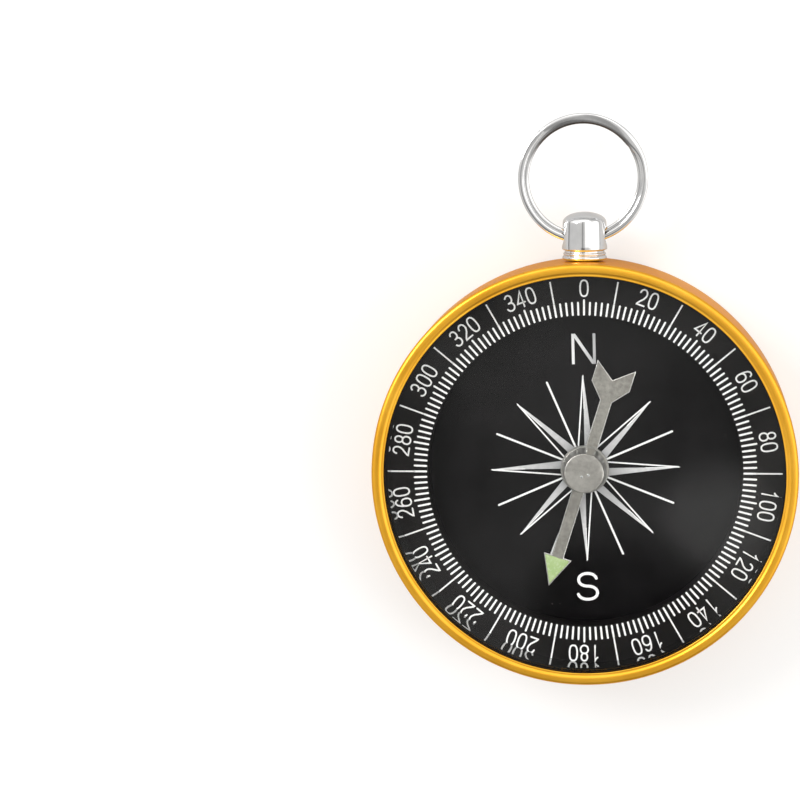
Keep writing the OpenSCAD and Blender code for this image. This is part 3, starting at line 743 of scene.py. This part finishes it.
def letter_s(cx, cy):
    """An S of one stroke."""
    top = oval(0.5, 0.755, 0.46, 0.245, 18, 2.1, 12, 262)
    bottom = oval(0.5, 0.255, 0.50, 0.255, 18, 2.1, 82, -168)
    points = [(cx + (x - 0.5) * S_W, cy + (y - 0.5) * S_H) for x, y in top + bottom]
    return ribbon(points, S_STROKE, DIAL_Z, DIAL_Z + INK)


letters = joined([turned(letter_n(0.13, LETTER_R), ROSE_TURN), turned(letter_s(0.0, -LETTER_R), ROSE_TURN)])
make("dial_letters", letters, letter_ink, "case", (), sharp=60)

# Needle: an arrow with a fletched tail. Its rounded edges are smoother metal, with a painted highlight in their paler
# colour
ARROW, TAIL, HEAD_L = 13.5, 11.8, 3.5
HEAD_W, SHAFT_W, FIN_W = 1.6, 0.67, 2.15
EYE_R, BLADE_ROUND = 0.80, 0.095
right_side = [
    (0, -ARROW), (HEAD_W, -ARROW + HEAD_L), (SHAFT_W, -ARROW + HEAD_L), (SHAFT_W, TAIL - 4.1),
    (FIN_W, TAIL - 2.4), (FIN_W, TAIL), (0, TAIL - 1.7),
]
outline = right_side + [(-x, y) for x, y in reversed(right_side[1:-1])]
hole = list(reversed(arc(0, 0, EYE_R, 0, 350, 35)))
blade = plate("needle_plate", [outline, hole], BLADE_Z, HUB_Z, BLADE_ROUND, blade_steel, "needle",
              ["needle_blade"], sharp=25)
# Painted highlight: the rounded edges get a metal paler than the blade's steel, so that they shine
second_material(blade, edge_steel_painted_highlight, lambda poly: poly.normal.z < 0.995)

# The paint on the arrowhead has a slightly wavy edge
PAINT_T, PAINT_ROUND, PAINT_STEP, PAINT_MID = 0.055, 0.024, 0.22, 2.2
corners = [
    (-1.24, -ARROW + 3.36), (-1.33, -ARROW + 3.18), (0, -ARROW + 0.38),
    (1.33, -ARROW + 3.18), (1.24, -ARROW + 3.36),
]
paint = []
for (x, y), (x2, y2) in zip(corners, corners[1:] + corners[:1]):
    steps = max(1, int(math.hypot(x2 - x, y2 - y) / PAINT_STEP))
    for k in range(steps):
        wave = 0.035 * math.sin(2.1 * len(paint)) + 0.02 * math.sin(5.3 * len(paint) + 1)
        scale = 1 + wave / 2
        px, py = x + (x2 - x) * k / steps, y + (y2 - y) * k / steps
        paint.append((px * scale, (py + ARROW - PAINT_MID) * scale - ARROW + PAINT_MID))
plate("arrow_paint", [paint], HUB_Z, HUB_Z + PAINT_T, PAINT_ROUND, lume, "needle", ["tip_paint"],
      sharp=80)

# Boss: a flange and a tapering drum. Its side is turned, and its top has two dimples
HUB_BORE, FLANGE_R, DRUM_R, DRUM_ROUND = 0.76, 2.6, 2.13, 0.13
hub_profile = (
    [(HUB_BORE, HUB_Z), (FLANGE_R, HUB_Z), (FLANGE_R, HUB_Z + 0.14), (2.55, HUB_Z + 0.19), (2.46, HUB_Z + 0.2)]
    + [(2.41, HUB_Z + 0.24), (2.33, HUB_Z + 1.0), (2.24, HUB_Z + 1.8)]
    + arc(DRUM_R - DRUM_ROUND, HUB_TOP - DRUM_ROUND, DRUM_ROUND, 4, 90, 6)
    + [(1.2, HUB_TOP), (0, HUB_TOP)]
)
boss = make("hub_boss", lathe(hub_profile, 256, closed=False), hub_metal, "needle", ["hub_cap"],
            sharp=30)
second_material(boss, hub_side, lambda poly: poly.center.z < (HUB_TOP - 0.06) * MM)

dimple_profile = [(0.13, HUB_TOP), (0.10, HUB_TOP + 0.018), (0.05, HUB_TOP + 0.012), (0, HUB_TOP + 0.006)]
dimples = []
for x, y in ((-0.25, -0.35), (0.45, -0.20)):
    verts, faces = lathe(dimple_profile, 24, closed=False)
    dimples.append(([(px + x, py + y, pz) for px, py, pz in verts], faces))
make("hub_dimples", joined(dimples), eyelet_metal, "needle", (), sharp=60)

# Stem: a chromed knob with a riveted spigot and a dome, laid along +Y. The ring's hole goes across it
SPIGOT_R, RIVET_R, RIVET_T, RIVET_Y = 0.6, 0.9, 0.20, 21.42
BEAD_TOP, FOOT = CASE_R + 0.87, CASE_R + 1.18
DOME_H, DOME_R = 1.1, 2.30
DOME = CASE_R + 5.15 - DOME_H
stem_profile = (
    [(0, RIVET_Y), (RIVET_R, RIVET_Y), (RIVET_R, RIVET_Y + RIVET_T), (SPIGOT_R, RIVET_Y + RIVET_T)]
    + [(SPIGOT_R, BEAD_TOP - 0.02), (2.13, BEAD_TOP), (2.10, BEAD_TOP + 0.08), (2.10, FOOT - 0.10)]
    + [(2.14, FOOT - 0.03)]
    + arc(2.28, FOOT + 0.10, 0.11, -90, 0, 6)
    + [(2.385, FOOT + 0.4), (2.36, FOOT + 1.2), (2.33, FOOT + 2.0), (2.31, DOME - 0.12)]
    + [(DOME_R * math.cos(math.radians(t)), DOME + DOME_H * math.sin(math.radians(t))) for t in range(0, 90, 5)]
    + [(0, DOME + DOME_H)]
)
cut_side = [(0.98, 2.05), (1.01, 2.18), (1.06, 2.27), (1.14, 2.42), (1.55, 3.2), (0, 3.2)]
cut_profile = [(r, -z) for r, z in reversed(cut_side)] + cut_side
along_y = Matrix.Translation((0, 0, STEM_Z * MM)) @ Matrix.Rotation(-math.pi / 2, 4, "X")
across_stem = Matrix.Translation((0, HINGE_Y * MM, STEM_Z * MM)) @ Matrix.Rotation(math.pi / 2, 4, "Y")
stem = add_object("stem_post", as_mesh("stem_post", lathe(stem_profile, 192, closed=False), along_y))
cutter = add_object("stem_cut", as_mesh("stem_cut", lathe(cut_profile, 128, closed=False), across_stem))
cross_hole = stem.modifiers.new("cross_hole", "BOOLEAN")
cross_hole.operation = "DIFFERENCE"
cross_hole.solver = "EXACT"
cross_hole.object = cutter
stem.data = evaluated_mesh(stem)
stem.modifiers.clear()
bpy.data.objects.remove(cutter)
finish_piece(stem, chrome, "case", ["stem"], sharp=32)

# Collar: a short round piece with two beads, whose foot follows the case wall, a hair clear of it. Its profile
# gives r and the height over the case's radius, or None for the height where it follows the wall
COLLAR_SIDES, BORE, NECK, HAIR = 256, 0.65, 1.50, 0.02
beads = arc(2.09, 0.31, 0.26, -90, 76, 14) + arc(2.10, 0.72, 0.15, -68, 90, 10)
collar_profile = [(BORE, None), (NECK, None), (NECK + 0.10, 0.05)] + beads + [(BORE, 0.87)]
verts = []
for r, height in collar_profile:
    for i in range(COLLAR_SIDES):
        t = TAU * i / COLLAR_SIDES
        x, z = r * math.cos(t), r * math.sin(t)
        on_wall = math.sqrt((CASE_R + HAIR) ** 2 - x * x)
        verts.append((x, on_wall if height is None else CASE_R + height, STEM_Z + z))
make("stem_foot", (verts, belts(len(collar_profile), COLLAR_SIDES, closed=True)), chrome, "case", ["stem_collar"],
     sharp=35)

# Split ring: one wire of nearly two turns, which steps sideways and up where it crosses itself
RING_R, WIRE_W, WIRE_T, SHIFT, GAP = 6.85, 0.66, 0.52, 0.46, 0.03
LOOP_R = RING_R - WIRE_W - SHIFT
CROSS_AT, CROSS_SPAN, EASE = 5.0, 90.0, 0.28
WIRE_SIDES, WIRE_STEPS, WIRE_POWER, SWEEP = 32, 640, 0.62, 720 - CROSS_SPAN
END_W, END_SPAN = 0.45, 12


def wire_section(width):
    """Section of the wire: low crowned faces and well rounded edges."""
    out = []
    for k in range(WIRE_SIDES):
        t = TAU * (k + 0.5) / WIRE_SIDES
        c, s = math.cos(t), math.sin(t)
        out.append((width / 2 * math.copysign(abs(c) ** WIRE_POWER, c),
                    WIRE_T / 2 * math.copysign(abs(s) ** WIRE_POWER, s)))
    return out


def eased(t):
    """From 0 to 1 as t does, with a soft start and end."""
    t = min(1.0, max(0.0, t))
    return t * t * (3 - 2 * t)


verts = []
for i in range(WIRE_STEPS + 1):
    a = SWEEP * i / WIRE_STEPS
    t = (a - 360) / CROSS_SPAN + 1
    r_in = LOOP_R + SHIFT * eased((t - 1.0) / EASE)
    r_out = LOOP_R + WIRE_W + SHIFT * eased((t + EASE) / EASE)
    taper = END_W + (1 - END_W) * math.sqrt(min(1.0, min(a, SWEEP - a) / END_SPAN))
    r = (r_in + r_out) / 2
    z = (WIRE_T + GAP) / 2 * (2 * eased(t) - 1)
    azimuth = math.radians(CROSS_AT + CROSS_SPAN / 2 + a)
    for px, py in wire_section((r_out - r_in) * taper):
        verts.append(((r + px) * math.sin(azimuth) + RING_X, (r + px) * math.cos(azimuth) + RING_Y, z + py + STEM_Z))
faces = belts(WIRE_STEPS + 1, WIRE_SIDES)
faces.append(tuple(range(WIRE_SIDES)))
faces.append(tuple(reversed(range(WIRE_STEPS * WIRE_SIDES, (WIRE_STEPS + 1) * WIRE_SIDES))))
make("split_ring_wire", (verts, faces), ring_chrome, "ring", ["split_ring"], sharp=60)

# CAD nodes that stay as they are, with their materials
for name, m in {
    "lens_gasket": rubber, "dial_plate": lacquer, "dial_carrier": moulding, "pivot_post": brass,
    "post_washer": washer_steel, "pivot_pin": pin_steel, "hub_eyelet": eyelet_metal, "jewel_cup": jewel,
    "stem_washer": washer_steel,
}.items():
    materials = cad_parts[name].data.materials
    materials.clear()
    materials.append(m.mat)

# Floor. It is open under the case and clear from below, so that a view from below shows the back. It glows white
# to the camera, and only faintly to what mirrors it
FLOOR_SIDES, FLOOR_RADII = 96, (21.9, 80, 2000)
verts = [(r * math.cos(TAU * i / FLOOR_SIDES), r * math.sin(TAU * i / FLOOR_SIDES), 0)
         for r in FLOOR_RADII for i in range(FLOOR_SIDES)]
floor = add_object("floor", as_mesh("floor", (verts, belts(len(FLOOR_RADII), FLOOR_SIDES))))
floor.location.z = -0.02 * MM
paper = Mat("floor_white", Base_Color=(0.46, 0.46, 0.46), Roughness=0.9)
path = paper.node("ShaderNodeLightPath")
mirrored = paper.math("MAXIMUM", path.outputs["Is Glossy Ray"], path.outputs["Is Transmission Ray"])
glow = paper.node("ShaderNodeEmission")
paper.link(paper.math("ADD", paper.math("MULTIPLY", path.outputs["Is Camera Ray"], 0.47),
                      paper.math("MULTIPLY", mirrored, 0.08)), glow.inputs["Strength"])
lit = paper.node("ShaderNodeAddShader")
paper.link(paper.bsdf.outputs[0], lit.inputs[0])
paper.link(glow.outputs[0], lit.inputs[1])
one_sided = paper.node("ShaderNodeMixShader")
paper.link(paper.node("ShaderNodeNewGeometry").outputs["Backfacing"], one_sided.inputs[0])
paper.link(lit.outputs[0], one_sided.inputs[1])
paper.link(paper.node("ShaderNodeBsdfTransparent").outputs[0], one_sided.inputs[2])
paper.link(one_sided.outputs[0], paper.out.inputs["Surface"])
floor.data.materials.append(paper.mat)

# Camera. It stands over the dial, a little towards 12 o'clock and to the right. It looks past the compass, so that
# the middle of the degree step lies right of the picture's middle and below it, as in the photo
CAMERA_FAR, LEAN_UP, LEAN_RIGHT = 266.5, math.radians(9.53), math.radians(2.08)
FOCAL_PX, OFFSET_PX = 2500, (184.9, -72.4)
view = Vector((math.sin(LEAN_RIGHT) * math.cos(LEAN_UP), math.sin(LEAN_UP), math.cos(LEAN_UP) * math.cos(LEAN_RIGHT)))
view.normalize()
up = (Vector((0, 1, 0)) - view * view.y).normalized()
facing = Matrix((up.cross(view), up, view)).transposed().to_quaternion()
aside = Vector((0, 0, -1)).rotation_difference(Vector((*OFFSET_PX, -FOCAL_PX)).normalized())
data = bpy.data.cameras.new("camera")
data.sensor_width = 36
data.lens = 112.1
camera = add_object("camera", data)
camera.rotation_mode = "QUATERNION"
camera.rotation_quaternion = facing @ aside.inverted()
camera.location = Vector((0, 0, STEP_Z)) * MM + view * CAMERA_FAR * MM
bpy.context.scene.camera = camera

# Sky. Its level depends on the direction of the ray
world = bpy.data.worlds.new("studio")
bpy.context.scene.world = world
sky = Nodes(world)
towards = sky.node("ShaderNodeTexCoord").outputs["Generated"]
to_right, to_stem, to_top = sky.xyz(towards)


def ramp(value, a, b, c, d):
    return sky.remap(value, a, b, c, d, smooth=True)


def product(a, b):
    return sky.math("MULTIPLY", a, b)


def near(direction, a, b, c, d):
    """From c to d as the cosine of the angle to this direction goes from a to b."""
    n = sky.node("ShaderNodeVectorMath")
    n.operation = "DOT_PRODUCT"
    sky.link(towards, n.inputs[0])
    n.inputs[1].default_value = Vector(direction).normalized()
    return ramp(n.outputs["Value"], a, b, c, d)


def spot(x, y, inner, outer):
    """1 within inner degrees of the direction with these slopes, falling to 0 at outer degrees."""
    return near((x, y, 1.0), math.cos(math.radians(outer)), math.cos(math.radians(inner)), 0.0, 1.0)


def band(value, a, b, c, d):
    """1 between b and c, falling to 0 at a and d."""
    return product(ramp(value, a, b, 0.0, 1.0), ramp(value, c, d, 1.0, 0.0))


def dimmed(value, where, share=1.0):
    """The value less this share of it where the mask is 1."""
    return product(value, sky.math("SUBTRACT", 1.0, product(where, share)))


def put(value, other, where):
    """The value, but the other one where the mask is 1."""
    return sky.math("ADD", dimmed(value, where), product(other, where))


# Over the dial, in slopes (x / z and y / z): a dark patch that the lens mirrors to the camera, a dark strip that
# draws the line on the stem, and a bright panel to the right of them
steep = sky.math("MAXIMUM", to_top, 0.02)
slope_x, slope_y = sky.math("DIVIDE", to_right, steep), sky.math("DIVIDE", to_stem, steep)
patch = product(band(slope_x, -0.34, -0.20, 0.03, 0.12), band(slope_y, -0.50, -0.36, -0.092, -0.074))
strip = product(band(slope_x, -0.24, -0.18, -0.085, -0.055), band(slope_y, -0.12, -0.10, 0.5, 0.9))
panel = product(band(slope_x, 0.05, 0.12, 0.70, 1.10), band(slope_y, -0.12, 0.0, 1.2, 2.2))
glow_left = product(near((-0.75, 0.45, 0.55), 0.55, 0.98, 0.0, 0.55), ramp(to_stem, 0.0, 0.35, 0.0, 1.0))
glow_right = near((0.93, 0.0, 0.36), 0.64, 0.96, 0.0, 0.95)
glow_stem_side = near((0.0, 0.80, 0.60), 0.88, 0.98, 0.0, 0.55)

# What the lens mirrors from inside the dark patch: a faint level with two brighter places and three darker ones
inside = 0.22
for x, y, inner, outer, gain in ((0.018, -0.185, 0.3, 1.6, 0.36), (-0.06, -0.125, 0.5, 3.0, 0.05)):
    inside = sky.math("ADD", inside, product(spot(x, y, inner, outer), gain))
for x, y, inner, outer, loss in ((-0.022, -0.230, 1.1, 2.6, 0.97), (0.012, -0.145, 0.4, 2.0, 0.45),
                                 (-0.105, -0.165, 0.6, 2.4, 0.45)):
    inside = dimmed(inside, spot(x, y, inner, outer), loss)

# One level all over, and more on the left, on the right, in the panel and on the stem's side
level = 0.70
for more in (glow_left, glow_right, product(panel, 0.75), glow_stem_side):
    level = sky.math("ADD", level, more)
level = put(level, inside, patch)
level = dimmed(level, strip, 0.48)
# Darker at the horizon, and on the side away from the stem
level = product(level, ramp(to_top, 0.0, 0.24, 0.30, 1.0))
level = product(level, near((0.05, -1.0, 0.35), 0.70, 0.95, 1.0, 0.38))
# Below the floor: a plain sky for views of the underside. The camera sees the sky as white
below = sky.math("ADD", 0.42, near((-0.50, -0.40, -0.75), 0.45, 0.97, 0.0, 1.0))
level = put(level, below, sky.math("LESS_THAN", to_top, -0.02))
level = put(level, 1.0, sky.node("ShaderNodeLightPath").outputs["Is Camera Ray"])
background = sky.tree.nodes["Background"]
sky.link(level, background.inputs["Strength"])
sky.feed(background.inputs["Color"], (1, 0.99, 0.97))


def softbox(name, place, size, power):
    """A rectangular lamp that shines on the middle of the case."""
    data = bpy.data.lights.new(name, "AREA")
    data.shape = "RECTANGLE"
    data.size, data.size_y = size[0] * MM, size[1] * MM
    data.energy = power
    lamp = add_object(name, data)
    lamp.location = Vector(place) * MM
    lamp.rotation_mode = "QUATERNION"
    lamp.rotation_quaternion = (Vector((0, 0, CASE_H / 2)) - Vector(place)).to_track_quat("-Z", "Y")
    return lamp


softbox("fill", (340, -60, 300), (160, 260), 0.5).visible_glossy = False
softbox("key", (-330, 220, 330), (200, 200), 1.15)

bpy.context.scene.view_settings.view_transform = "Standard"
